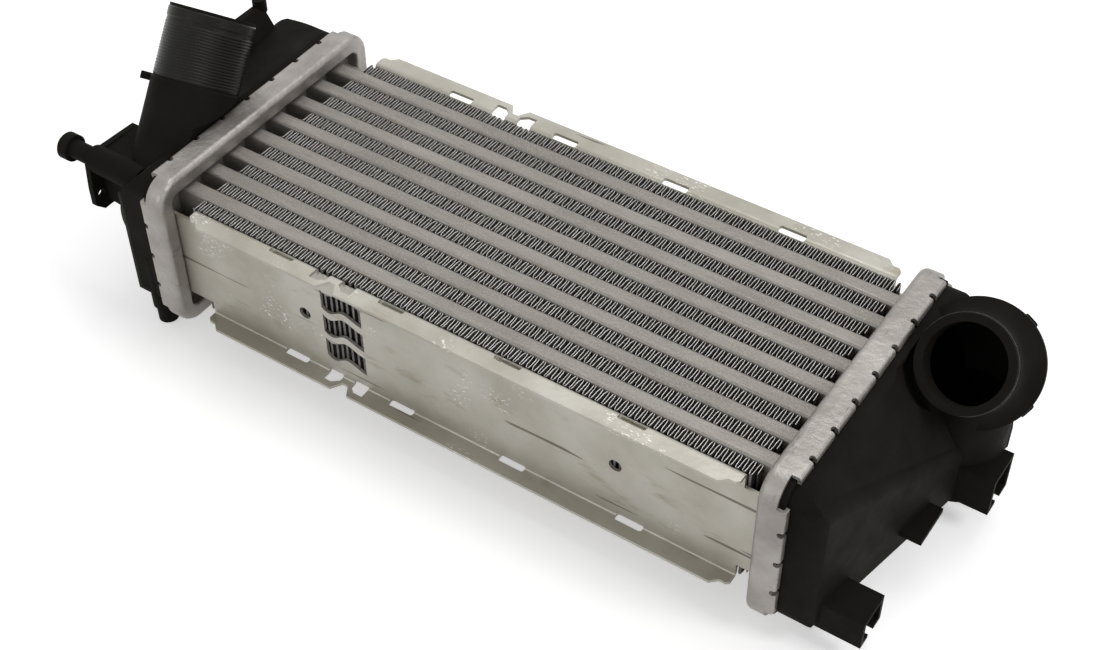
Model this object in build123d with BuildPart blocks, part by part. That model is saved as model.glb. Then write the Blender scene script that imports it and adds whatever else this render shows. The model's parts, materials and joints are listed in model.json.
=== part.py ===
from build123d import *
from math import cos, radians, sin
import os

os.makedirs("parts", exist_ok=True)

# The core lies flat: charge air runs along X inside the tubes, cooling air runs along Z between them,
# and the tubes are stacked along Y. Sizes are in millimetres, and heights are taken from the lower
# face of the core until the finished pieces are set down on their lowest point.

# Flat tubes
tube_count = 8
tube_pitch = 15.1
tube_thickness = 7.8
tube_wall = 0.5
tube_nose = 1.6
core_depth = 64.0
tube_stickout = 2.0

# Cooling fins between the tubes, and the inner fins inside them
fin_wave_count = 70
fin_inset = 1.0
fin_left_gap = 9.0
fin_right_gap = 5.5
fin_strip = 1.0
inner_fin_wave_count = 9
inner_fin_strip = 0.7
inner_fin_margin = 3.2
inner_fin_gap = 2.0

# Header plates, pressed from sheet, with a gutter round the edge for the tank's foot
header_overhang = 10.45
header_rim = 10.0
header_corner = 12.0
header_sheet = 1.6
ridge_distance = 150.0
gutter_width = 5.3
plate_recess = 6.0
crimp_height = 13.0
crimp_reach = 3.4
ridge_round = 2.8
recess_round = 1.4
braze_gap = 0.05

# Notches that part the crimped edge into tabs
notch_width = 2.8
notch_depth = 4.6
long_notches = 7
long_notch_pitch = 17.6
short_notches = 3
short_notch_pitch = 18.0
corner_cut = 10.5
corner_cut_depth = 4.2

# Sealing rings
gasket_thickness = 2.2
foot_gap = 0.3

# Side plates, folded to a channel that opens outwards
side_sheet = 1.5
flange_width = 9.95
side_bend = 1.6
flange_left_gap = 13.0
flange_right_gap = 9.0
flange_taper = 7.5
flange_step = 3.0
cut_margin = 1.0
web_tongue = 48.0
slot_count = 4
slot_pitch = 59.2
slot_length = 13.2
slot_width = 3.4
side_middle = 2.0
web_hole = 6.2
web_hole_spacing = 162.0
joint_place = -57.5
joint_length = 22.0
joint_strip = 3.2
joint_wave = 3.0
joint_window_count = 3
joint_window_height = 10.6
joint_window_pitch = 14.6

# Moulded tanks; depths are taken from the header plate's crimped edge
tank_wall = 2.9
collar_height = 16.5
shoulder = 6.0
slope_reach = 1.1
round_gap = 0.3

# Outlet tank on the right, a wedge that deepens towards its port
right_front_depth = 14.0
right_back_depth = 43.0
right_front_drop = 2.3
right_back_ridge = 4.0
right_front_round = 8.0
right_back_round = 12.0
right_low_round = 4.0
right_corner = 8.0
port_offset = 26.2
port_inset = 47.5
port_rise = 4.3
port_tilt = 39.7
port_radius = 20.6
port_wall = 3.6
port_flare = 12.0
hose_room = 5.0
dome_radius = 27.5
dome_setback = 24.0
column_radius = 19.0

# Sockets and lug on the outlet tank
socket_wall = 2.2
low_socket_inset = 15.6
low_socket_z = 0.3
low_socket_width = 18.0
low_socket_height = 15.0
low_socket_reach = 34.5
high_socket_inset = 37.3
high_socket_z = 6.4
high_socket_width = 20.0
high_socket_height = 20.4
high_socket_reach = 49.5
socket_slot = 5.0
socket_depth = 11.0
lug_y = -4.2
lug_z = 7.6
lug_width = 21.0
lug_thickness = 2.6
lug_reach = 35.5

# Inlet tank on the left, with its spigot, pin bracket, strap bar and locating peg
left_front_depth = 23.0
left_back_depth = 44.0
left_front_drop = 18.3
left_back_drop = 8.3
left_low_round = 14.0
left_high_round = 12.0
left_corner = 12.0
spigot_offset = 21.0
spigot_inset = 79.8
spigot_rise = 37.7
spigot_lean = 40.0
spigot_sway = 5.8
spigot_radius = 20.0
spigot_wall = 3.2
spigot_length = 92.0
stop_setback = 34.0
stop_step = 0.7
elbow_foot_radius = 14.0
elbow_foot_z = -3.0
elbow_shift = 2.0
header_room = 4.0
bracket_offset = 42.0
bracket_root = 13.0
bracket_sheet = 3.0
bracket_tongue = 13.0
pin_inset = 12.3
pin_z = 58.5
pin_radius = 4.5
pin_length = 12.5
pin_bulb_radius = 6.6
pin_bulb_length = 6.0
pin_chamfer = 1.0
bracket_hole_inset = 9.3
bracket_hole_z = 40.5
bracket_hole = 4.6
boss_radius = 6.5
bar_offset = 44.0
bar_inset = 22.8
bar_span = 32.0
bar_size = 3.6
bar_lift = 10.0
bar_foot = 12.0
tab_length = 5.5
tab_width = 3.5
tab_turn = 26.0
peg_offset = 8.0
peg_inset = 5.8
peg_radius = 4.8
peg_length = 9.5
peg_shoulder = 6.0

# Places that follow from the sizes above
middle = core_depth / 2
fin_rows = tube_count + 1
fin_height = tube_pitch - tube_thickness
stack_half = (tube_count * tube_pitch + fin_height) / 2
header_width = 2 * (stack_half + header_overhang)
header_height = core_depth + 2 * header_rim
flange_reach = stack_half + flange_width
plate_start = ridge_distance + plate_recess
plate_end = plate_start + header_sheet
crimp_end = ridge_distance + crimp_height
foot_start = ridge_distance + header_sheet + gasket_thickness
foot_end = crimp_end - header_sheet
foot_outer = header_sheet + foot_gap
foot_inner = header_sheet + gutter_width - foot_gap
recess_inset = 2 * header_sheet + gutter_width
wall_inset = crimp_reach + foot_gap
tank_y = header_width / 2 - wall_inset
tank_bottom = middle - header_height / 2 + wall_inset
tank_top = middle + header_height / 2 - wall_inset
header_bottom = middle - header_height / 2
collar_end = ridge_distance + collar_height


def end_plane(side, distance):
    """Plane across the core's length, facing out of the left (-1) or right (+1) end."""
    return Plane(origin=(side * distance, 0, middle), x_dir=(0, 1, 0), z_dir=(side, 0, 0))


def cross_plane(y):
    """Upright plane along the core's length at the given Y."""
    return Plane(origin=(0, y, 0), x_dir=(1, 0, 0), z_dir=(0, -1, 0))


def outline(inset):
    """Width, height and corner radius of the header's outline, moved inwards."""
    return header_width - 2 * inset, header_height - 2 * inset, header_corner - inset


def tube_place(index):
    return (index - (tube_count - 1) / 2) * tube_pitch


def zigzag(start, end, waves, half_height, strip):
    """Closed outline of a folded strip: up one leg and down the next, strip thick across its crests."""
    step = (end - start) / (2 * waves)
    swing = half_height - strip / 2
    crests = [(start + step * k, swing if k % 2 else -swing) for k in range(2 * waves + 1)]
    upper = [(a, b + strip / 2) for a, b in crests]
    lower = [(a, b - strip / 2) for a, b in crests]
    return upper + lower[::-1]


pieces = {}


# Flat tubes: folded and brazed sheet, open at both ends, passing through both header plates
def make_tube(y):
    with BuildPart() as tube:
        with BuildSketch(end_plane(-1, plate_end + tube_stickout)):
            with Locations((y, 0)):
                RectangleRounded(tube_thickness, core_depth, tube_nose)
                RectangleRounded(tube_thickness - 2 * tube_wall, core_depth - 2 * tube_wall,
                                 tube_nose - tube_wall, mode=Mode.SUBTRACT)
        extrude(amount=-2 * (plate_end + tube_stickout))
    return tube.part


# Inner fins: a corrugated strip along each tube that carries the heat to its walls
def make_inner_fin(y):
    half_height = tube_thickness / 2 - tube_wall
    half_width = core_depth / 2 - inner_fin_margin
    with BuildPart() as inner_fin:
        with BuildSketch(Plane.YZ.offset(inner_fin_gap - ridge_distance)):
            with BuildLine():
                folds = zigzag(middle - half_width, middle + half_width,
                               inner_fin_wave_count, half_height, inner_fin_strip)
                Polyline([(y + b, a) for a, b in folds], close=True)
            make_face()
        extrude(amount=2 * (ridge_distance - inner_fin_gap))
    return inner_fin.part


# Cooling fins: thin strip folded to and fro, brazed by its crests to the tubes on both sides
def make_fin(y):
    with BuildPart() as fin:
        with BuildSketch(Plane.XY.offset(fin_inset)):
            with BuildLine():
                folds = zigzag(fin_left_gap - ridge_distance, ridge_distance - fin_right_gap,
                               fin_wave_count, fin_height / 2, fin_strip)
                Polyline([(a, y + b) for a, b in folds], close=True)
            make_face()
        extrude(amount=core_depth - 2 * fin_inset)
    return fin.part


for i in range(tube_count):
    pieces[f"tube_{i + 1}"] = make_tube(tube_place(i))
    pieces[f"inner_fin_{i + 1}"] = make_inner_fin(tube_place(i))
for i in range(fin_rows):
    pieces[f"fin_{i + 1}"] = make_fin(tube_place(i) - tube_pitch / 2)


# Header plates: pressed sheet with a rounded ridge towards the core, a gutter towards the tank,
# slots for the tubes and an edge that is crimped over the tank's foot in tabs
def make_header(side):
    out = Axis((0, 0, 0), (side, 0, 0))
    with BuildPart() as header:
        with BuildSketch(end_plane(side, ridge_distance)):
            RectangleRounded(*outline(0))
        extrude(amount=crimp_height)
        fillet(header.faces().sort_by(out)[0].edges(), ridge_round)
        fillet(header.faces().sort_by(out)[-1].edges(), header_sheet)
        with BuildSketch(end_plane(side, ridge_distance)):
            RectangleRounded(*outline(recess_inset))
        extrude(amount=plate_recess, mode=Mode.SUBTRACT)
        fillet(header.faces().sort_by(out)[0].inner_wires()[0].edges(), recess_round)
        with BuildSketch(end_plane(side, ridge_distance + header_sheet)):
            RectangleRounded(*outline(header_sheet))
            RectangleRounded(*outline(header_sheet + gutter_width), mode=Mode.SUBTRACT)
        extrude(amount=foot_end - ridge_distance - header_sheet, mode=Mode.SUBTRACT)
        with BuildSketch(end_plane(side, plate_end)):
            RectangleRounded(*outline(header_sheet + gutter_width))
        extrude(amount=foot_end - plate_end, mode=Mode.SUBTRACT)
        with BuildSketch(end_plane(side, foot_end)):
            RectangleRounded(*outline(crimp_reach))
        extrude(amount=header_sheet, mode=Mode.SUBTRACT)
        with BuildSketch(end_plane(side, plate_start)):
            with GridLocations(tube_pitch, 0, tube_count, 1):
                RectangleRounded(tube_thickness + 2 * braze_gap, core_depth + 2 * braze_gap,
                                 tube_nose + braze_gap)
        extrude(amount=header_sheet, mode=Mode.SUBTRACT)
        with BuildSketch(end_plane(side, crimp_end)):
            with GridLocations(long_notch_pitch, header_height, long_notches, 2):
                Rectangle(notch_width, 2 * (crimp_reach + foot_gap))
            with GridLocations(header_width, short_notch_pitch, 2, short_notches):
                Rectangle(2 * (crimp_reach + foot_gap), notch_width)
        extrude(amount=-notch_depth, mode=Mode.SUBTRACT)
        with BuildSketch(end_plane(side, crimp_end)):
            with GridLocations(header_width, header_height, 2, 2):
                Rectangle(2 * corner_cut, 2 * corner_cut)
        extrude(amount=-corner_cut_depth, mode=Mode.SUBTRACT)
    return header.part


# Sealing rings: rubber, laid in the gutter under the tank's foot
def make_gasket(side):
    with BuildPart() as gasket:
        with BuildSketch(end_plane(side, ridge_distance + header_sheet)):
            RectangleRounded(*outline(foot_outer))
            RectangleRounded(*outline(foot_inner), mode=Mode.SUBTRACT)
        extrude(amount=gasket_thickness)
    return gasket.part


for side, end in ((-1, "left"), (1, "right")):
    pieces[f"header_plate_{end}"] = make_header(side)
    pieces[f"gasket_{end}"] = make_gasket(side)


# Side plates: sheet folded to a channel, brazed to the outer fins, with a tongue at each end that
# reaches into the header plate, and a stretch of thin wavy straps that lets the core grow when hot
def make_side_plate(side):
    out = Axis((0, 0, 0), (0, side, 0))
    face = side * stack_half
    flange_middle = side * (stack_half + flange_width / 2)
    flange_left_end = flange_left_gap - ridge_distance
    flange_right_end = ridge_distance - flange_right_gap
    web_plane = Plane(origin=(0, face, middle), x_dir=(1, 0, 0), z_dir=(0, side, 0))
    fold_depth = side_sheet + side_bend
    taper = flange_taper - flange_step
    clear = side * (flange_reach + cut_margin)
    with BuildPart() as side_plate:
        with BuildSketch(Plane.YZ.offset(flange_left_end)):
            with Locations((flange_middle, middle)):
                Rectangle(flange_width, core_depth)
            with Locations((flange_middle + side * side_sheet, middle)):
                Rectangle(flange_width, core_depth - 2 * side_sheet, mode=Mode.SUBTRACT)
        extrude(amount=flange_right_end - flange_left_end)
        fillet(side_plate.edges().filter_by(Axis.X).group_by(out)[0], side_bend + side_sheet / 2)
        fillet(side_plate.edges().filter_by(Axis.X).group_by(out)[1], side_bend - side_sheet / 2)
        with BuildSketch(web_plane):
            Rectangle(2 * plate_start, web_tongue)
        extrude(amount=side_sheet)
        with BuildSketch():
            for end, inward in ((flange_left_end, 1), (flange_right_end, -1)):
                with BuildLine():
                    Polyline((end - inward * cut_margin, clear),
                             (end + inward * flange_taper, clear),
                             (end + inward * flange_taper, side * flange_reach),
                             (end + inward * taper, side * (flange_reach - flange_step)),
                             (end + inward * flange_step / 2, side * (flange_reach - flange_step)),
                             (end, side * (flange_reach - 1.5 * flange_step)),
                             (end - inward * cut_margin, side * (flange_reach - 1.5 * flange_step)),
                             close=True)
                make_face()
        extrude(amount=core_depth, mode=Mode.SUBTRACT)
        with BuildSketch() as slots:
            with Locations((side_middle, side * (stack_half + slot_width / 2 + side_bend / 4))):
                with GridLocations(slot_pitch, 0, slot_count, 1):
                    RectangleRounded(slot_length, slot_width, slot_width / 3)
            reach = joint_length / 2
            dip = flange_width - joint_strip - side_sheet
            for half in (-1, 1):
                with BuildLine():
                    Polyline((joint_place + half * reach, face),
                             (joint_place + half * reach, side * (flange_reach - joint_strip)),
                             (joint_place + half * 2 * joint_strip, side * (flange_reach - joint_strip)),
                             (joint_place + half * joint_strip,
                              side * (flange_reach - joint_strip - dip / 2)),
                             (joint_place + half * joint_strip, face), close=True)
                make_face()
            with BuildLine():
                Polyline((joint_place - 1.5 * joint_strip, clear),
                         (joint_place - 1.5 * joint_strip, side * flange_reach),
                         (joint_place - joint_strip / 2, side * (flange_reach - dip)),
                         (joint_place + joint_strip / 2, side * (flange_reach - dip)),
                         (joint_place + 1.5 * joint_strip, side * flange_reach),
                         (joint_place + 1.5 * joint_strip, clear), close=True)
            make_face()
        extrude(amount=fold_depth, mode=Mode.SUBTRACT)
        with BuildSketch(Plane.XY.offset(core_depth - fold_depth)):
            add(slots.sketch)
        extrude(amount=fold_depth, mode=Mode.SUBTRACT)
        with BuildSketch(web_plane):
            with Locations((side_middle, 0)):
                with GridLocations(web_hole_spacing, 0, 2, 1):
                    Circle(web_hole / 2)
            for row in range(joint_window_count):
                window = (row - (joint_window_count - 1) / 2) * joint_window_pitch
                with BuildLine():
                    for k in (-1, 1):
                        edge = window + k * joint_window_height / 2
                        Spline((joint_place - reach, edge), (joint_place - reach / 2, edge - joint_wave / 2),
                               (joint_place, edge + joint_wave / 2), (joint_place + reach / 2, edge),
                               (joint_place + reach, edge - joint_wave / 2))
                    for k in (-1, 1):
                        drop = joint_wave / 4 * (1 + k)
                        Line((joint_place + k * reach, window - joint_window_height / 2 - drop),
                             (joint_place + k * reach, window + joint_window_height / 2 - drop))
                make_face()
        extrude(amount=side_sheet, mode=Mode.SUBTRACT)
    return side_plate.part


pieces["side_plate_front"] = make_side_plate(-1)
pieces["side_plate_back"] = make_side_plate(1)


# Tanks: moulded plastic, glass filled; a collar and foot sit in the header's gutter, and the body
# behind them deepens along Y
def tank_section(side, y, depth, ridge, high_round, low_round, skin):
    """Cross section of a tank's body at Y: bottom, outer wall up to its ridge, and the slope above it."""
    wall = crimp_end + depth - skin
    foot = foot_start - cut_margin
    bottom = tank_bottom + skin - round_gap
    peak = wall - (depth - shoulder) * slope_reach
    peak_height = ridge - skin + (tank_top - ridge) * slope_reach
    out = Axis((0, 0, 0), (side, 0, 0))
    with BuildSketch(cross_plane(y)) as section:
        with BuildLine():
            Polyline((side * foot, bottom), (side * wall, bottom), (side * wall, ridge - skin),
                     (side * peak, peak_height), (side * foot, peak_height), close=True)
        make_face()
        fillet(section.vertices().sort_by(out)[-2:].sort_by(Axis.Y)[-1], high_round - skin)
        fillet(section.vertices().group_by(Axis.Y)[0].sort_by(out)[-1], low_round - skin)
    return section.sketch


def tank_body(side, front, back, low_round, corner, skin):
    """Body between its front and back sections, each given by depth, ridge height and ridge round."""
    reach = tank_y - skin + round_gap
    foot = foot_start - cut_margin
    wall = crimp_end + round_gap - skin
    out = Axis((0, 0, 0), (side, 0, 0))
    with BuildPart() as body:
        loft([tank_section(side, -reach, *front, low_round, skin),
              tank_section(side, reach, *back, low_round, skin)], ruled=True)
        with BuildSketch(Plane.XY.offset(header_bottom)) as plan:
            with BuildLine():
                Polyline((side * foot, -reach), (side * (wall + front[0]), -reach),
                         (side * (wall + back[0]), reach), (side * foot, reach), close=True)
            make_face()
            fillet(plan.vertices().sort_by(out)[-2:], corner - skin)
        extrude(amount=2 * header_height, mode=Mode.INTERSECT)
        with BuildSketch(end_plane(side, foot_start)):
            RectangleRounded(*outline(wall_inset + skin))
        extrude(amount=header_width, mode=Mode.INTERSECT)
    return body.part


def tank_collar(side):
    """Collar that stands out of the header, and the foot that the crimped edge holds."""
    with BuildPart() as collar:
        with BuildSketch(end_plane(side, foot_start)):
            RectangleRounded(*outline(wall_inset))
        extrude(amount=collar_end - foot_start)
        with BuildSketch(end_plane(side, foot_start)):
            RectangleRounded(*outline(foot_outer))
        extrude(amount=foot_end - foot_start)
        with BuildSketch(end_plane(side, foot_start)):
            RectangleRounded(*outline(foot_inner))
        extrude(amount=collar_end - foot_start, mode=Mode.SUBTRACT)
    return collar.part


def clear_of_crimp(side, skin, height):
    """Block over the header's side of the tank, up to the given height, that outer shapes stay out of."""
    with BuildPart() as block:
        with BuildSketch(end_plane(side, crimp_end + foot_gap + skin)):
            Rectangle(2 * header_width, 2 * (height - middle))
        extrude(amount=-header_width)
    return block.part


def turning_plane(place, reach):
    """Plane whose Y runs along reach and whose X runs outwards, level with the core's length."""
    across = (Vector(-1, 0, 0) + reach * reach.X).normalized()
    return Plane(origin=place, x_dir=across, z_dir=across.cross(reach))


# Outlet tank: a wedge that runs up to a short port over a domed elbow, with two open sockets and a
# flat lug on its outer wall
right_front = (right_front_depth, tank_top - right_front_drop, right_front_round)
right_back = (right_back_depth, right_back_ridge, right_back_round)
right_rounds = (right_low_round, right_corner)
port_place = Vector(crimp_end + port_offset, tank_y - port_inset, tank_top + port_rise)
port_reach = Vector(0, -cos(radians(port_tilt)), sin(radians(port_tilt)))
dome_place = port_place - port_reach * dome_setback
flare_start = dome_setback - port_flare
low_socket_y = low_socket_inset - tank_y
low_socket_end = crimp_end + low_socket_reach
high_socket_y = tank_y - high_socket_inset
high_socket_end = crimp_end + high_socket_reach


def port_form(skin, mouth):
    """Port barrel with its flare and domed back, less the given skin."""
    with BuildPart() as form:
        with BuildSketch(turning_plane(port_place, port_reach)):
            with BuildLine():
                dome = dome_radius - skin
                barrel = port_radius - skin
                Polyline((0, -dome_setback - dome), (0, mouth), (barrel, mouth), (barrel, -flare_start))
                TangentArc((barrel, -flare_start), (dome, -dome_setback), tangent=(0, -1))
                CenterArc((0, -dome_setback), dome, -90, 90)
            make_face()
        revolve(axis=Axis(port_place, port_reach))
        with BuildSketch(Plane.XY.offset(tank_bottom + skin)):
            with Locations((dome_place.X, dome_place.Y)):
                Circle(column_radius - skin)
        extrude(amount=dome_place.Z - tank_bottom - skin)
    return form.part


def hose_space(skin):
    """Round space that a hose on the port takes up, with the given skin round it."""
    with BuildPart() as space:
        with BuildSketch(Plane(origin=port_place - port_reach * (flare_start + skin),
                               x_dir=(1, 0, 0), z_dir=port_reach)):
            Circle(port_radius + hose_room + skin)
        extrude(amount=header_width)
    return space.part


with BuildPart() as right_hollow:
    add(tank_body(1, right_front, right_back, *right_rounds, tank_wall))
    add(hose_space(tank_wall), mode=Mode.SUBTRACT)
    add(port_form(port_wall, cut_margin))
    with BuildSketch(Plane.YZ.offset(high_socket_end - socket_depth - socket_wall)):
        with Locations((high_socket_y, high_socket_z)):
            Rectangle(high_socket_width, high_socket_height)
    extrude(amount=socket_depth, mode=Mode.SUBTRACT)

with BuildPart() as tank_right:
    add(tank_body(1, right_front, right_back, *right_rounds, 0))
    add(hose_space(0), mode=Mode.SUBTRACT)
    add(port_form(0, 0))
    with BuildSketch(Plane.YZ.offset(collar_end)):
        with Locations((low_socket_y, low_socket_z)):
            Rectangle(low_socket_width, low_socket_height)
    extrude(amount=low_socket_end - collar_end)
    with BuildSketch(Plane.YZ.offset(collar_end)):
        with Locations((high_socket_y, high_socket_z)):
            Rectangle(high_socket_width, high_socket_height)
    extrude(amount=high_socket_end - collar_end)
    with BuildSketch(Plane.YZ.offset(collar_end)):
        with Locations((lug_y, lug_z)):
            Rectangle(lug_width, lug_thickness)
    extrude(amount=crimp_end + lug_reach - collar_end)
    add(clear_of_crimp(1, 0, 2 * header_height), mode=Mode.SUBTRACT)
    add(tank_collar(1))
    add(right_hollow.part, mode=Mode.SUBTRACT)
    with BuildSketch(Plane.YZ.offset(low_socket_end)):
        with Locations((low_socket_y, low_socket_z)):
            Rectangle(low_socket_width - 2 * socket_wall, low_socket_height - 2 * socket_wall)
        with Locations((low_socket_y, low_socket_z - low_socket_height / 2)):
            Rectangle(socket_slot, 3 * socket_wall)
    extrude(amount=-socket_depth, mode=Mode.SUBTRACT)
    with BuildSketch(Plane.YZ.offset(high_socket_end)):
        with Locations((high_socket_y, high_socket_z)):
            Rectangle(high_socket_width - 2 * socket_wall, high_socket_height - 2 * socket_wall)
        with Locations((high_socket_y, high_socket_z - high_socket_height / 2)):
            Rectangle(socket_slot, 3 * socket_wall)
    extrude(amount=-socket_depth, mode=Mode.SUBTRACT)
pieces["tank_right"] = tank_right.part

# Inlet tank: a body whose top falls away from the header, with a long leaning spigot that turns down
# into its front end, a bracket with a mounting pin, a bar to hook a strap on and a locating peg below
left_front = (left_front_depth, tank_top - left_front_drop, left_high_round)
left_back = (left_back_depth, tank_top - left_back_drop, left_high_round)
left_rounds = (left_low_round, left_corner)
spigot_place = Vector(-crimp_end - spigot_offset, spigot_inset - tank_y, tank_top + spigot_rise)
spigot_reach = Vector(-sin(radians(spigot_sway)),
                      sin(radians(spigot_lean)) * cos(radians(spigot_sway)),
                      cos(radians(spigot_lean)) * cos(radians(spigot_sway)))
elbow_place = spigot_place - spigot_reach * spigot_length


def spigot_form(skin, mouth, step):
    """Spigot with its rounded elbow and the tapering leg below it, less the given skin."""
    barrel = spigot_radius - skin
    root = barrel + step
    with BuildPart() as form:
        with BuildSketch(turning_plane(spigot_place, spigot_reach)):
            with BuildLine():
                Polyline((0, -spigot_length - root), (0, mouth), (barrel, mouth),
                         (barrel, -stop_setback), (root, -stop_setback - stop_step),
                         (root, -spigot_length))
                CenterArc((0, -spigot_length), root, -90, 90)
            make_face()
        revolve(axis=Axis(spigot_place, spigot_reach))
        with BuildSketch(Plane.XY.offset(elbow_place.Z)) as top:
            with Locations((elbow_place.X, elbow_place.Y)):
                Circle(root)
        with BuildSketch(Plane.XY.offset(elbow_foot_z + skin)) as foot:
            with Locations((elbow_place.X + elbow_shift, elbow_place.Y - elbow_shift)):
                Circle(elbow_foot_radius - skin)
        loft([foot.sketch, top.sketch])
    return form.part


header_clear = header_bottom + header_height + header_room
pin_y = pin_inset - tank_y
bracket_hole_y = bracket_hole_inset - tank_y
bracket_front = -crimp_end - bracket_offset - bracket_sheet / 2
body_reach = -crimp_end - bracket_root
bar_x = -crimp_end - bar_offset
bar_height = left_back[1] + bar_lift
bar_far = tank_y - bar_inset + bar_span / 2
bar_near = bar_far - bar_span

with BuildPart() as spigot_bore:
    add(spigot_form(spigot_wall, cut_margin, 0))
    add(clear_of_crimp(-1, spigot_wall, header_clear), mode=Mode.SUBTRACT)

with BuildPart() as tank_left:
    add(tank_body(-1, left_front, left_back, *left_rounds, 0))
    add(spigot_form(0, 0, stop_step))
    with BuildSketch(Plane.YZ.offset(bracket_front)):
        with Locations((pin_y, pin_z)):
            Circle(boss_radius)
    extrude(amount=body_reach - bracket_front)
    with BuildSketch(Plane.YZ.offset(bracket_front)):
        with BuildLine():
            Polyline((pin_y + 2 * bracket_tongue, pin_z + boss_radius - bracket_sheet),
                     (pin_y - boss_radius / 2, pin_z + boss_radius - bracket_sheet / 2),
                     (pin_y - boss_radius, pin_z),
                     (bracket_hole_y - bracket_hole, bracket_hole_z + bracket_hole),
                     (bracket_hole_y - bracket_hole, bracket_hole_z - bracket_hole),
                     (bracket_hole_y, bracket_hole_z - 2 * bracket_hole),
                     (bracket_hole_y + 2 * bracket_hole, bracket_hole_z - 2 * bracket_hole),
                     (bracket_hole_y + 3 * bracket_hole, bracket_hole_z + bracket_hole), close=True)
        make_face()
        with Locations((bracket_hole_y, bracket_hole_z)):
            Circle(bracket_hole / 2, mode=Mode.SUBTRACT)
    extrude(amount=bracket_sheet)
    with BuildSketch(Plane.XY.offset(pin_z + boss_radius - 2 * bracket_sheet)):
        with BuildLine():
            Polyline((bracket_front, pin_y), (bracket_front, pin_y + 2 * bracket_tongue),
                     (body_reach, pin_y + 2 * bracket_tongue), (body_reach, pin_y), close=True)
        make_face()
    extrude(amount=bracket_sheet)
    with BuildSketch(cross_plane(pin_y)):
        with BuildLine():
            Polyline((bracket_front, bracket_hole_z - bracket_hole), (bracket_front, pin_z),
                     (body_reach, pin_z), (body_reach, middle), close=True)
        make_face()
    extrude(amount=-bracket_sheet)
    with BuildSketch(turning_plane(Vector(bracket_front, pin_y, pin_z), Vector(0, 0, 1))):
        with BuildLine():
            Polyline((0, 0), (0, pin_radius), (pin_length, pin_radius), (pin_length, pin_bulb_radius),
                     (pin_length + pin_bulb_length - pin_chamfer, pin_bulb_radius),
                     (pin_length + pin_bulb_length, pin_bulb_radius - pin_chamfer),
                     (pin_length + pin_bulb_length, 0), close=True)
        make_face()
    revolve(axis=Axis((bracket_front, pin_y, pin_z), (-1, 0, 0)))
    with BuildSketch(Plane.XY.offset(bar_height)):
        with BuildLine():
            Polyline((bar_x - bar_size, bar_near), (bar_x, bar_near), (bar_x, bar_far),
                     (bar_x - bar_size, bar_far), close=True)
        make_face()
    extrude(amount=-bar_size)
    with BuildSketch(cross_plane(bar_near)):
        with BuildLine():
            Polyline((bar_x - bar_size / 2, bar_height), (bar_x, bar_height),
                     (bar_x + 4 * bar_size, left_back[1] - bar_foot),
                     (bar_x - bar_size / 2, left_back[1] - bar_foot), close=True)
        make_face()
    extrude(amount=bar_near - bar_far)
    with BuildSketch(Plane.XY.offset(bar_height - bar_size)):
        with Locations((bar_x - bar_size / 2, bar_far)):
            Circle(bar_size)
    extrude(amount=2 * bar_size)
    with BuildSketch(Plane(origin=spigot_place - spigot_reach * stop_setback,
                           x_dir=turning_plane(spigot_place, spigot_reach).x_dir, z_dir=spigot_reach)):
        with PolarLocations(spigot_radius + (tab_length - spigot_wall) / 2, 1, tab_turn):
            Rectangle(tab_length + spigot_wall, tab_width)
    extrude(amount=-tab_width)
    with BuildSketch(Plane.XY.offset(header_bottom)):
        with Locations((-crimp_end - peg_offset, peg_inset - tank_y)):
            Circle(peg_shoulder)
    extrude(amount=middle)
    with BuildSketch(Plane.XY.offset(header_bottom)):
        with Locations((-crimp_end - peg_offset, peg_inset - tank_y)):
            Circle(peg_radius)
    extrude(amount=-peg_length)
    add(clear_of_crimp(-1, 0, header_clear), mode=Mode.SUBTRACT)
    add(tank_collar(-1))
    add(tank_body(-1, left_front, left_back, *left_rounds, tank_wall), mode=Mode.SUBTRACT)
    add(spigot_bore.part, mode=Mode.SUBTRACT)
pieces["tank_left"] = tank_left.part

# Everything is set down with the middle of its outer box over the origin, on its lowest point
boxes = [piece.bounding_box() for piece in pieces.values()]
length_middle = (min(box.min.X for box in boxes) + max(box.max.X for box in boxes)) / 2
width_middle = (min(box.min.Y for box in boxes) + max(box.max.Y for box in boxes)) / 2
home = Location((-length_middle, -width_middle, -min(box.min.Z for box in boxes)))
print("set down by", home.position)
for name, piece in pieces.items():
    placed = piece.moved(home)
    placed.label = name
    export_step(placed, f"parts/{name}.step")
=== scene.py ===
import json
from math import cos, pi, sin

import bmesh
import bpy
from mathutils import Matrix, Vector


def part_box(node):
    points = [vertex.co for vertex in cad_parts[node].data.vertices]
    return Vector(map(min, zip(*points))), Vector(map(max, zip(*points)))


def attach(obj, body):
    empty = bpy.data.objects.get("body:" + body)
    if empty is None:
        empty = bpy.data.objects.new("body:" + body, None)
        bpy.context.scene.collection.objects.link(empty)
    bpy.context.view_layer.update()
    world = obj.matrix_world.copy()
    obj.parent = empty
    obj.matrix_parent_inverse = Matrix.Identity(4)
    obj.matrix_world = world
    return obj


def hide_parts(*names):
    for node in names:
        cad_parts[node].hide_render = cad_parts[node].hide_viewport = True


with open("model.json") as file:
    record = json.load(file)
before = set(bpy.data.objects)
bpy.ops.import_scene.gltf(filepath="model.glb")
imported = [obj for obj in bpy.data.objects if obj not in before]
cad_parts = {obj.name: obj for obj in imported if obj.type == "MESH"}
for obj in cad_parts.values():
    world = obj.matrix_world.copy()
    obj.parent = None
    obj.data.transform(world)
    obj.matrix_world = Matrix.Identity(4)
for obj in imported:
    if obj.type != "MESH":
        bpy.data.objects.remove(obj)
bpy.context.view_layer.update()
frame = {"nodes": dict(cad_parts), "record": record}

# The place where the part is looked at: a pale floor that turns white to the camera, an even sky,
# and soft boxes above. The camera stands as the photograph's did, to the right of the outlet tank.
scene = bpy.context.scene
scene.view_settings.view_transform = "Standard"


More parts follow.
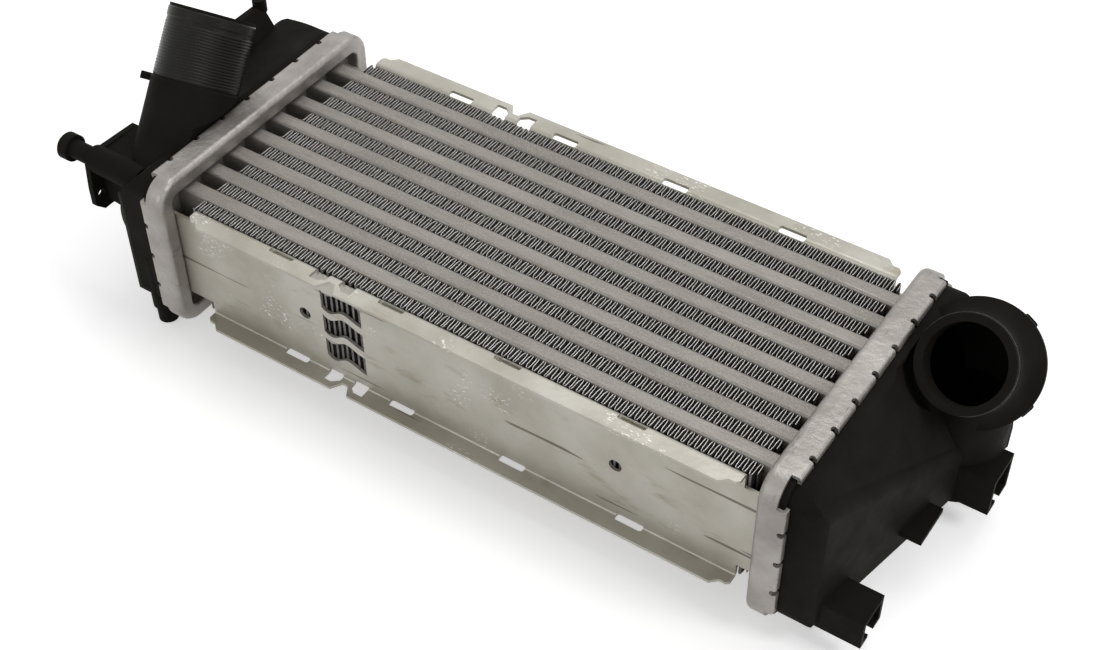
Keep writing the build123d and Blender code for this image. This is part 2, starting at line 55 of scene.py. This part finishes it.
def paint(name, colour, roughness, metallic=0.0):
    """New material with one shader, and its node tree for what varies over the surface."""
    material = bpy.data.materials.new(name)
    material.use_nodes = True
    tree = material.node_tree
    shader = tree.nodes["Principled BSDF"]
    shader.inputs["Base Color"].default_value = (*colour, 1)
    shader.inputs["Roughness"].default_value = roughness
    shader.inputs["Metallic"].default_value = metallic
    return material, tree, shader


def maths(tree, operation, *values):
    """Result of a maths node on values that are each a socket or a number."""
    node = tree.nodes.new("ShaderNodeMath")
    node.operation = operation
    for socket, value in zip(node.inputs, values):
        if isinstance(value, float):
            socket.default_value = value
        else:
            tree.links.new(value, socket)
    return node.outputs[0]


def whiten_to_camera(tree, shader_socket, output, strength):
    """Adds white for rays from the camera, from gloss and through glass, and for no other ray."""
    rays = tree.nodes.new("ShaderNodeLightPath")
    seen = maths(tree, "MAXIMUM", rays.outputs["Is Camera Ray"], rays.outputs["Is Glossy Ray"])
    clear = maths(tree, "MAXIMUM", seen, rays.outputs["Is Transmission Ray"])
    glow = tree.nodes.new("ShaderNodeEmission")
    tree.links.new(maths(tree, "MULTIPLY", clear, strength), glow.inputs["Strength"])
    both = tree.nodes.new("ShaderNodeAddShader")
    tree.links.new(shader_socket, both.inputs[0])
    tree.links.new(glow.outputs[0], both.inputs[1])
    tree.links.new(both.outputs[0], output.inputs["Surface"])


floor_reach = 4.0
floor_white = 0.42
floor_corners = [(a * floor_reach, b * floor_reach, 0) for a, b in ((-1, -1), (1, -1), (1, 1), (-1, 1))]
floor_mesh = bpy.data.meshes.new("floor")
floor_mesh.from_pydata(floor_corners, [], [(0, 1, 2, 3)])
floor = bpy.data.objects.new("floor", floor_mesh)
scene.collection.objects.link(floor)
floor_paint, floor_tree, floor_shader = paint("floor_paint", (0.86, 0.86, 0.86), 0.9)
floor_mesh.materials.append(floor_paint)
floor_grain = floor_tree.nodes.new("ShaderNodeTexNoise")
floor_grain.inputs["Scale"].default_value = 60
floor_bump = floor_tree.nodes.new("ShaderNodeBump")
floor_bump.inputs["Strength"].default_value = 0.02
floor_tree.links.new(floor_grain.outputs["Fac"], floor_bump.inputs["Height"])
floor_tree.links.new(floor_bump.outputs["Normal"], floor_shader.inputs["Normal"])
whiten_to_camera(floor_tree, floor_shader.outputs[0], floor_tree.nodes["Material Output"], floor_white)

sky_light = 0.42
world = bpy.data.worlds.new("sky")
scene.world = world
world.use_nodes = True
sky = world.node_tree
sky.nodes["Background"].inputs["Color"].default_value = (1, 1, 1, 1)
sky.nodes["Background"].inputs["Strength"].default_value = sky_light
whiten_to_camera(sky, sky.nodes["Background"].outputs[0], sky.nodes["World Output"], 1 - sky_light)


def soft_box(name, place, target, size, power):
    """Soft lamp of the given width, height and watts, turned to its target."""
    lamp = bpy.data.lights.new(name, "AREA")
    lamp.shape = "RECTANGLE"
    lamp.size = size[0]
    lamp.size_y = size[1]
    lamp.energy = power
    box = bpy.data.objects.new(name, lamp)
    box.location = place
    box.rotation_euler = (Vector(target) - Vector(place)).to_track_quat("-Z", "Y").to_euler()
    scene.collection.objects.link(box)


soft_box("high_box", place=(0.05, 0.5, 1.5), target=(0, 0, 0.05), size=(1.0, 0.8), power=7.5)
soft_box("right_box", place=(0.75, 0.0, 0.7), target=(0.1, 0, 0.05), size=(0.25, 0.25), power=2.4)
soft_box("left_box", place=(-0.9, 0.8, 1.0), target=(-0.15, 0, 0.05), size=(0.5, 0.5), power=0.8)
soft_box("front_box", place=(-0.4, -1.4, 0.7), target=(0, 0, 0.05), size=(1.2, 0.6), power=4.1)

camera_data = bpy.data.cameras.new("camera")
camera_data.sensor_width = 36
camera_data.lens = 57.8
camera_place = Vector((0.32845, -0.4684, 0.5972))
to_right = Vector((0.83243, 0.55408, -0.00756))
to_down = Vector((0.38563, -0.58905, -0.71015))
away = Vector((-0.39793, 0.58824, -0.70401))
camera_turn = Matrix((to_right, -to_down, -away)).transposed().to_4x4()
camera = bpy.data.objects.new("camera", camera_data)
camera.matrix_world = Matrix.Translation(camera_place) @ camera_turn
scene.collection.objects.link(camera)
scene.camera = camera

# Flat tubes. Each is folded from clad aluminium strip and brazed shut, and the braze leaves it a
# pale matt grey with faint cloudy streaks along its length.
mm = 0.001


def object_space(tree, stretch=(1, 1, 1)):
    """Position on the object in metres, stretched, for the textures of one material."""
    place = tree.nodes.new("ShaderNodeTexCoord")
    scale = tree.nodes.new("ShaderNodeMapping")
    scale.inputs["Scale"].default_value = stretch
    tree.links.new(place.outputs["Object"], scale.inputs["Vector"])
    return scale.outputs["Vector"]


def grain(tree, where, scale, detail=4.0, roughness=0.55):
    """Noise value from 0 to 1 at the given scale per metre."""
    texture = tree.nodes.new("ShaderNodeTexNoise")
    texture.inputs["Scale"].default_value = scale
    texture.inputs["Detail"].default_value = detail
    texture.inputs["Roughness"].default_value = roughness
    tree.links.new(where, texture.inputs["Vector"])
    return texture.outputs["Fac"]


def blend_of(tree, value, stops):
    """Colour ramp driven by a value, from (position, colour) stops."""
    ramp = tree.nodes.new("ShaderNodeValToRGB")
    marks = ramp.color_ramp.elements
    for mark, (position, colour) in ((marks[0], stops[0]), (marks[1], stops[-1])):
        mark.position = position
        mark.color = (*colour, 1)
    for position, colour in stops[1:-1]:
        marks.new(position).color = (*colour, 1)
    tree.links.new(value, ramp.inputs["Fac"])
    return ramp.outputs["Color"]


def over(tree, amount, below, above):
    """Colour above laid over colour below by an amount from 0 to 1."""
    mix = tree.nodes.new("ShaderNodeMix")
    mix.data_type = "RGBA"
    tree.links.new(amount, mix.inputs[0])
    for socket, colour in ((mix.inputs[6], below), (mix.inputs[7], above)):
        if isinstance(colour, tuple):
            socket.default_value = (*colour, 1)
        else:
            tree.links.new(colour, socket)
    return mix.outputs[2]


def spread(tree, value, low, high, start=0.3, end=0.7):
    """Value stretched so that it runs from low to high as it goes from start to end."""
    remap = tree.nodes.new("ShaderNodeMapRange")
    remap.inputs["From Min"].default_value = start
    remap.inputs["From Max"].default_value = end
    remap.inputs["To Min"].default_value = low
    remap.inputs["To Max"].default_value = high
    tree.links.new(value, remap.inputs["Value"])
    return remap.outputs["Result"]


def relief(tree, shader, height, depth):
    """Bump of the given depth in metres on a shader."""
    bump = tree.nodes.new("ShaderNodeBump")
    bump.inputs["Distance"].default_value = depth
    tree.links.new(height, bump.inputs["Height"])
    tree.links.new(bump.outputs["Normal"], shader.inputs["Normal"])


def brazed_metal(name, dark, light, stretch=(1, 1, 1)):
    """Matt brazed aluminium: cloudy tone, drawn streaks, bright flecks and an uneven polish."""
    roughness = 0.5
    streak_colour = tuple(0.8 * part for part in dark)
    fleck_colour = tuple(1.25 * part for part in light)
    material, tree, shader = paint(name, light, roughness, 0.55)
    where = object_space(tree, stretch)
    clouds = blend_of(tree, grain(tree, where, 45), [(0.35, dark), (0.65, light)])
    streaks = spread(tree, grain(tree, object_space(tree, (0.05, 1, 1)), 2200, 4), -0.8, 0.7)
    flecks = spread(tree, grain(tree, object_space(tree), 1100, 5, 0.7), -0.6, 0.8)
    streaked = over(tree, streaks, clouds, streak_colour)
    tree.links.new(over(tree, flecks, streaked, fleck_colour), shader.inputs["Base Color"])
    polish = spread(tree, grain(tree, where, 160), roughness - 0.08, roughness + 0.1)
    tree.links.new(polish, shader.inputs["Roughness"])
    relief(tree, shader, grain(tree, where, 900, 6), 0.08 * mm)
    return material


def dress(node, material):
    """Gives a CAD node its material."""
    body = frame["nodes"][node]
    body.data.materials.clear()
    body.data.materials.append(material)


tube_count = 8
tube_dark = (0.205, 0.189, 0.17)
tube_light = (0.29, 0.268, 0.243)
tube_metal = brazed_metal("tube_metal", tube_dark, tube_light, stretch=(0.25, 1, 1))
for i in range(1, tube_count + 1):
    dress(f"tube_{i}", tube_metal)

# Inner fins. A corrugated strip of the same clad aluminium is brazed inside each tube, where only
# its ends can be seen, from inside the tanks.
inner_dark = (0.20, 0.19, 0.175)
inner_light = (0.28, 0.27, 0.25)
inner_metal = brazed_metal("inner_metal", inner_dark, inner_light)
for i in range(1, tube_count + 1):
    dress(f"inner_fin_{i}", inner_metal)

# Cooling fins. Thin aluminium strip is rolled into close waves, with rows of louvres pressed out of
# each leg, and brazed to the tubes at every crest. Its colour holds painted shade deep in the channels and
# painted light along its outer edges.
# Painted shade and painted light: the fin's colour runs from nearly black deep in the core to bright within
# 0.9 mm of its top and bottom faces, set by height on the object.
painted_shade_dark = (0.05, 0.047, 0.044)
painted_shade_light = (0.11, 0.105, 0.10)
painted_lit_edge_dark = (0.36, 0.345, 0.325)
painted_lit_edge_light = (0.62, 0.60, 0.575)
edge_reach = 0.9 * mm
fin_low, fin_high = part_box("fin_1")
fin_middle = (fin_low.z + fin_high.z) / 2
fin_half = (fin_high.z - fin_low.z) / 2
fin_metal, fin_tree, fin_shader = paint("fin_metal", (0.38, 0.375, 0.36), 0.4, 0.6)
fin_where = object_space(fin_tree)
fin_place = fin_tree.nodes.new("ShaderNodeSeparateXYZ")
fin_tree.links.new(fin_where, fin_place.inputs[0])
fin_level = maths(fin_tree, "SUBTRACT", fin_place.outputs["Z"], fin_middle)
fin_depth = maths(fin_tree, "ABSOLUTE", fin_level)
# Painted-light mask: 1 at the fin's top and bottom faces, falling to 0 at 0.9 mm deeper, where the painted
# shade begins.
fin_painted_light_mask = spread(fin_tree, fin_depth, 0, 1, start=fin_half - edge_reach, end=fin_half)
fin_painted_shade = blend_of(fin_tree, grain(fin_tree, fin_where, 300), [(0.3, painted_shade_dark), (0.7, painted_shade_light)])
fin_painted_lit_edge = blend_of(fin_tree, grain(fin_tree, fin_where, 500), [(0.3, painted_lit_edge_dark), (0.7, painted_lit_edge_light)])
fin_tree.links.new(over(fin_tree, fin_painted_light_mask, fin_painted_shade, fin_painted_lit_edge), fin_shader.inputs["Base Color"])
relief(fin_tree, fin_shader, grain(fin_tree, fin_where, 1500), 0.05 * mm)

# Painted shade at the crests: where the fin turns against a tube, it gets a darker copy of the fin metal.
crest_dark = (0.11, 0.105, 0.10)
crest_light = (0.21, 0.205, 0.195)
crest_painted_shade_metal, crest_tree, crest_shader = paint("fin_crest_painted_shade", (0.16, 0.155, 0.145), 0.5, 0.5)
crest_tone = blend_of(crest_tree, grain(crest_tree, object_space(crest_tree), 400),
                      [(0.3, crest_dark), (0.7, crest_light)])
crest_tree.links.new(crest_tone, crest_shader.inputs["Base Color"])

fin_waves = 94
fin_sheet = 0.26 * mm
crest_drop = 0.3 * mm
crest_share = 0.34
crest_turns = (-1, 0, 1)
leg_shares = (0.28, 0.72)
leg_start = 0.46
leg_lean = 0.08
wave_stray = 0.16
stray_by_wave = 2.4
stray_by_row = 1.7
louvre_depth = 0.22 * mm
louvre_pitch = 1.5 * mm
louvre_rows = 6
half_waves = 2 * fin_waves
half_wave_points = len(crest_turns) + len(leg_shares)
crest_faces = len(crest_turns) - 1


def fin_path(low, high, middle, half_height, row):
    """Points and leg positions of one rounded wave after another, seen along Z, no two quite alike."""
    step = (high - low) / half_waves
    swing = half_height - fin_sheet / 2
    path = []
    for k in range(half_waves):
        up = 1 if k % 2 else -1
        fade = sin(pi * (k + 0.5) / half_waves)
        stray = wave_stray * sin(stray_by_wave * k + stray_by_row * row) * fade
        centre = low + step * (k + 0.5 + stray)
        for turn in crest_turns:
            height = swing - crest_drop * abs(turn)
            path.append((centre + step * crest_share * turn, middle + up * height, 0))
        for share in leg_shares:
            height = swing * (1 - 2 * share)
            path.append((centre + step * (leg_start + share * leg_lean), middle + up * height, up))
    return path


def fin_heights(bottom, top):
    """Heights of the louvre rows, close near both faces and none in the middle."""
    rows = [bottom + louvre_pitch * k / 2 for k in range(2 * louvre_rows)]
    return rows + [bottom + top - z for z in reversed(rows)]


for i in range(1, tube_count + 2):
    low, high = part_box(f"fin_{i}")
    path = fin_path(low.x + fin_sheet, high.x - fin_sheet, (low.y + high.y) / 2, (high.y - low.y) / 2, i)
    heights = fin_heights(low.z, high.z)
    points = []
    for row, z in enumerate(heights):
        push = louvre_depth if row % 2 else -louvre_depth
        rim = row in (0, len(heights) - 1)
        points += [(x + (0 if rim else push * abs(leg)), y, z) for x, y, leg in path]
    wide = len(path)
    faces = [(r * wide + c, r * wide + c + 1, (r + 1) * wide + c + 1, (r + 1) * wide + c)
             for r in range(len(heights) - 1) for c in range(wide - 1)]
    fin_mesh = bpy.data.meshes.new(f"louvred_fin_{i}")
    fin_mesh.from_pydata(points, [], faces)
    fin_mesh.materials.append(fin_metal)
    fin_mesh.materials.append(crest_painted_shade_metal)
    for face in fin_mesh.polygons:
        column = face.index % (wide - 1)
        # Crest faces take the darker painted-shade material, and the legs take the fin metal.
        face.material_index = 1 if column % half_wave_points < crest_faces else 0
    louvred = bpy.data.objects.new(f"louvred_fin_{i}", fin_mesh)
    scene.collection.objects.link(louvred)
    thick = louvred.modifiers.new("thickness", "SOLIDIFY")
    thick.thickness = fin_sheet
    thick.offset = 0
    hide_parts(f"fin_{i}")
    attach(louvred, "root")


# Side plates. Each is folded from aluminium sheet into a channel and brazed to the outermost fins;
# the flux dries on it in brownish stains, and near-white specks in its colour are painted glints.
def patches(tree, value, start, end):
    """Amount that rises from 0 to 1 where the value passes from start to end."""
    return blend_of(tree, value, [(start, (0, 0, 0)), (end, (1, 1, 1))])


side_dark = (0.365, 0.345, 0.292)
side_middle = (0.42, 0.40, 0.348)
side_light = (0.475, 0.458, 0.41)
stain_colour = (0.27, 0.235, 0.16)
score_colour = (0.15, 0.13, 0.10)
painted_glint_colour = (0.85, 0.84, 0.80)
side_metal, side_tree, side_shader = paint("side_metal", (0.42, 0.40, 0.35), 0.42, 0.45)
side_where = object_space(side_tree)
side_clouds = blend_of(side_tree, grain(side_tree, side_where, 26, 5),
                       [(0.36, side_dark), (0.5, side_middle), (0.66, side_light)])
stain_noise = grain(side_tree, object_space(side_tree, (0.5, 1, 1.4)), 60, 8, 0.7)
stains = spread(side_tree, stain_noise, -1.5, 0.75)
side_stained = over(side_tree, stains, side_clouds, stain_colour)
score_noise = grain(side_tree, object_space(side_tree, (0.045, 1, 1)), 240, 2, 0.5)
scores = patches(side_tree, score_noise, 0.685, 0.70)
side_scored = over(side_tree, scores, side_stained, score_colour)
# Painted highlight: clusters of near-white specks in the colour stand in for glints on the sheet.
painted_glint_noise = grain(side_tree, object_space(side_tree, (0.4, 1, 1)), 1300, 2, 0.6)
painted_glint_specks = patches(side_tree, painted_glint_noise, 0.60, 0.67)
painted_glint_places = patches(side_tree, grain(side_tree, side_where, 34, 1), 0.60, 0.66)
painted_glints = maths(side_tree, "MULTIPLY", painted_glint_specks, painted_glint_places)
side_tree.links.new(over(side_tree, painted_glints, side_scored, painted_glint_colour), side_shader.inputs["Base Color"])
side_polish = spread(side_tree, grain(side_tree, side_where, 130), 0.32, 0.52)
side_tree.links.new(side_polish, side_shader.inputs["Roughness"])
relief(side_tree, side_shader, grain(side_tree, side_where, 260, 8), 0.2 * mm)
for side in ("front", "back"):
    dress(f"side_plate_{side}", side_metal)

# Header plates. Each is deep drawn from thicker aluminium sheet, brazed to the tubes, and its edge
# is bent over the tank's foot in tabs, which leaves it satin with fine scratches.
header_dark = (0.255, 0.236, 0.217)
header_light = (0.365, 0.342, 0.318)
scratch_colour = (0.17, 0.155, 0.135)
header_metal, header_tree, header_shader = paint("header_metal", (0.33, 0.31, 0.29), 0.4, 0.6)
header_where = object_space(header_tree)
header_tone = blend_of(header_tree, grain(header_tree, header_where, 40, 6),
                       [(0.36, header_dark), (0.64, header_light)])
scratch_noise = grain(header_tree, object_space(header_tree, (1, 0.12, 1)), 420, 6, 0.75)
scratches = patches(header_tree, scratch_noise, 0.60, 0.68)
header_tree.links.new(over(header_tree, scratches, header_tone, scratch_colour),
                      header_shader.inputs["Base Color"])
header_polish = spread(header_tree, grain(header_tree, header_where, 110), 0.3, 0.5)
header_tree.links.new(header_polish, header_shader.inputs["Roughness"])
relief(header_tree, header_shader, grain(header_tree, header_where, 170, 7, 0.6), 0.7 * mm)
for end in ("left", "right"):
    dress(f"header_plate_{end}", header_metal)

# Roots of the notches. The notches between the header plates' tabs are punched with a round end, so
# each is filled out to it here in the same aluminium sheet, flush with the plate's skin.
header_sheet = 1.6 * mm
notch_width = 2.8 * mm
notch_depth = 4.6 * mm
notch_side = 1.7 * mm
notch_middle = 2.7 * mm
notch_steps = 8
long_pitch = 17.6 * mm
long_notches = range(-3, 4)
short_pitch = 18.0 * mm
short_notches = range(-1, 2)


def new_piece(name, points, faces, material):
    """New piece of the object from points and faces, with its faces turned outwards."""
    mesh = bpy.data.meshes.new(name)
    mesh.from_pydata(points, [], faces)
    shape = bmesh.new()
    shape.from_mesh(mesh)
    bmesh.ops.recalc_face_normals(shape, faces=shape.faces)
    shape.to_mesh(mesh)
    shape.free()
    mesh.materials.append(material)
    piece = bpy.data.objects.new(name, mesh)
    scene.collection.objects.link(piece)
    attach(piece, "root")


def notch_root(points, faces, centre, along, inward, out):
    """Adds one root: a plate one sheet thick, hollowed by an arc on the side of the notch's mouth."""
    outline = [(-notch_width / 2, notch_depth), (notch_width / 2, notch_depth)]
    for k in range(notch_steps + 1):
        turn = pi * k / notch_steps
        outline.append((cos(turn) * notch_width / 2, notch_side + sin(turn) * (notch_middle - notch_side)))
    first = len(points)
    count = len(outline)
    for layer in (0, header_sheet):
        points.extend(centre + along * a - out * b + inward * layer for a, b in outline)
    faces.append([first + k for k in range(count)])
    faces.append([first + count + k for k in reversed(range(count))])
    for k in range(count):
        after = (k + 1) % count
        faces.append([first + after, first + k, first + count + k, first + count + after])


for end, side in (("left", -1), ("right", 1)):
    low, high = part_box(f"header_plate_{end}")
    middle = (low + high) / 2
    rim = high.x if side > 0 else low.x
    out = Vector((side, 0, 0))
    points = []
    faces = []
    for half, skin in ((1, high.z), (-1, low.z)):
        for k in long_notches:
            notch_root(points, faces, Vector((rim, middle.y + k * long_pitch, skin)),
                       Vector((0, 1, 0)), Vector((0, 0, -half)), out)
    for half, skin in ((1, high.y), (-1, low.y)):
        for k in short_notches:
            notch_root(points, faces, Vector((rim, skin, middle.z + k * short_pitch)),
                       Vector((0, 0, 1)), Vector((0, -half, 0)), out)
    new_piece(f"notch_roots_{end}", points, faces, header_metal)

# Sealing rings. Black rubber is moulded into plain rings that lie in the header plates' gutters,
# where the tanks' feet press them flat.
rubber, rubber_tree, rubber_shader = paint("ring_rubber", (0.02, 0.02, 0.02), 0.7)
relief(rubber_tree, rubber_shader, grain(rubber_tree, object_space(rubber_tree), 1200), 0.05 * mm)
for end in ("left", "right"):
    dress(f"gasket_{end}", rubber)

# Tanks. Both are injection moulded in black glass-filled nylon, which leaves a satin skin with a
# faint brown cast and a fine grain. The header plates' tabs hold them by their feet.
nylon_dark = (0.0075, 0.007, 0.006)
nylon_light = (0.0125, 0.0117, 0.0102)


def moulded_nylon(name, roughness, gloss):
    """Black moulded plastic: slightly uneven tone and polish over a fine grain."""
    material, tree, shader = paint(name, nylon_light, roughness)
    shader.inputs["Specular IOR Level"].default_value = gloss
    where = object_space(tree)
    tone = blend_of(tree, grain(tree, where, 35), [(0.3, nylon_dark), (0.7, nylon_light)])
    tree.links.new(tone, shader.inputs["Base Color"])
    polish = spread(tree, grain(tree, where, 90), roughness - 0.06, roughness + 0.1)
    tree.links.new(polish, shader.inputs["Roughness"])
    relief(tree, shader, grain(tree, where, 700, 5), 0.12 * mm)
    return material


tank_nylon = moulded_nylon("tank_nylon", roughness=0.62, gloss=0.03)
for end in ("left", "right"):
    dress(f"tank_{end}", tank_nylon)

# Grips of the two hose ports. Under a plain lip the mould cuts fine rings into the inlet's barrel, so
# that the hose holds, and leaves one rounded bead round the outlet. Hoses have polished both.
band_sides = 96
band_root = 0.6 * mm
bead_height = 0.35 * mm
bead_round = 0.5 * mm
lip_start = 1.4 * mm
lip_end = 6.2 * mm
ring_count = 18
ring_start = 8.0 * mm
ring_pitch = 1.4 * mm
ring_height = 0.3 * mm
ring_valley = 0.05 * mm
ring_top = (0.35 * ring_pitch, 0.6 * ring_pitch)
ring_end = ring_start + ring_count * ring_pitch
outlet_start = 1.0 * mm
outlet_end = 3.4 * mm


def port_place(mount_name):
    """Middle of a port's mouth, the axis that leaves it, and its barrel's radius."""
    mount = next(mount for mount in frame["record"]["mounts"] if mount["name"] == mount_name)
    axis = Vector(mount["axis"]).normalized()
    mouth = Vector(mount["pos_m"]) + axis * mount["dims"]["length_mm"] / 2 * mm
    return mouth, axis, mount["dims"]["r_mm"] * mm


def grip_band(name, mount_name, outline, material):
    """Ring of the given section round a port, as (depth below its mouth, height above its barrel)."""
    mouth, axis, radius = port_place(mount_name)
    aside = axis.orthogonal().normalized()
    across = axis.cross(aside)
    count = len(outline)
    points = []
    faces = []
    for k in range(band_sides):
        turn = 2 * pi * k / band_sides
        ray = aside * cos(turn) + across * sin(turn)
        points.extend(mouth - axis * depth + ray * (radius + height) for depth, height in outline)
        here = k * count
        there = (k + 1) % band_sides * count
        for n in range(count):
            after = (n + 1) % count
            faces.append([here + n, here + after, there + after, there + n])
    new_piece(name, points, faces, material)


def bead(start, end):
    """Section of one rounded bead between two depths, from its root in the barrel to its crown."""
    return [(start, -band_root), (start, 0), (start + bead_round, bead_height),
            (end - bead_round, bead_height), (end, 0)]


rings = bead(lip_start, lip_end)
for k in range(ring_count):
    start = ring_start + k * ring_pitch
    rings += [(start, ring_valley), (start + ring_top[0], ring_height), (start + ring_top[1], ring_height)]
rings += [(ring_end, ring_valley), (ring_end, -band_root)]
polished_nylon = moulded_nylon("polished_nylon", roughness=0.26, gloss=0.14)
grip_band("spigot_rings", "inlet_spigot", rings, polished_nylon)
grip_band("outlet_bead", "outlet_port", bead(outlet_start, outlet_end) + [(outlet_end, -band_root)],
          polished_nylon)

# Lugs on the outlet's dome. Two small wedges are moulded on its outer side, in one with the tank,
# where a clip for a cable or a vacuum pipe hooks on.
dome_radius = 27.5 * mm
dome_setback = 24.0 * mm
lug_rays = (Vector((0.41, 0.80, 0.43)), Vector((0.86, 0.01, -0.51)))
lug_length = 7.0 * mm
lug_width = 3.6 * mm
lug_rise = 1.2 * mm
lug_sink = 1.5 * mm
lug_layers = ((0, 1.0), (lug_sink + 0.7 * lug_rise, 0.9), (lug_sink + lug_rise, 0.6))
lug_corners = ((-1, -1), (1, -1), (1, 1), (-1, 1))
lug_sides = len(lug_corners)
tank_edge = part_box("tank_right")[1].x

outlet_mouth, outlet_axis = port_place("outlet_port")[:2]
dome_place = outlet_mouth - outlet_axis * dome_setback
points = []
faces = []
for ray in lug_rays:
    ray.normalize()
    along = outlet_axis.cross(ray).normalized() * lug_length / 2
    beside = ray.cross(along).normalized() * lug_width / 2
    foot = dome_place + ray * (dome_radius - lug_sink)
    first = len(points)
    for rise, share in lug_layers:
        for a, b in lug_corners:
            corner = foot + ray * rise + (along * a + beside * b) * share
            corner.x = min(corner.x, tank_edge)
            points.append(corner)
    last = len(points) - lug_sides
    faces.append([first + k for k in range(lug_sides)])
    faces.append([last + k for k in range(lug_sides)])
    for layer in range(first, last, lug_sides):
        for k in range(lug_sides):
            after = (k + 1) % lug_sides
            faces.append([layer + k, layer + after, layer + lug_sides + after, layer + lug_sides + k])
new_piece("dome_lugs", points, faces, tank_nylon)
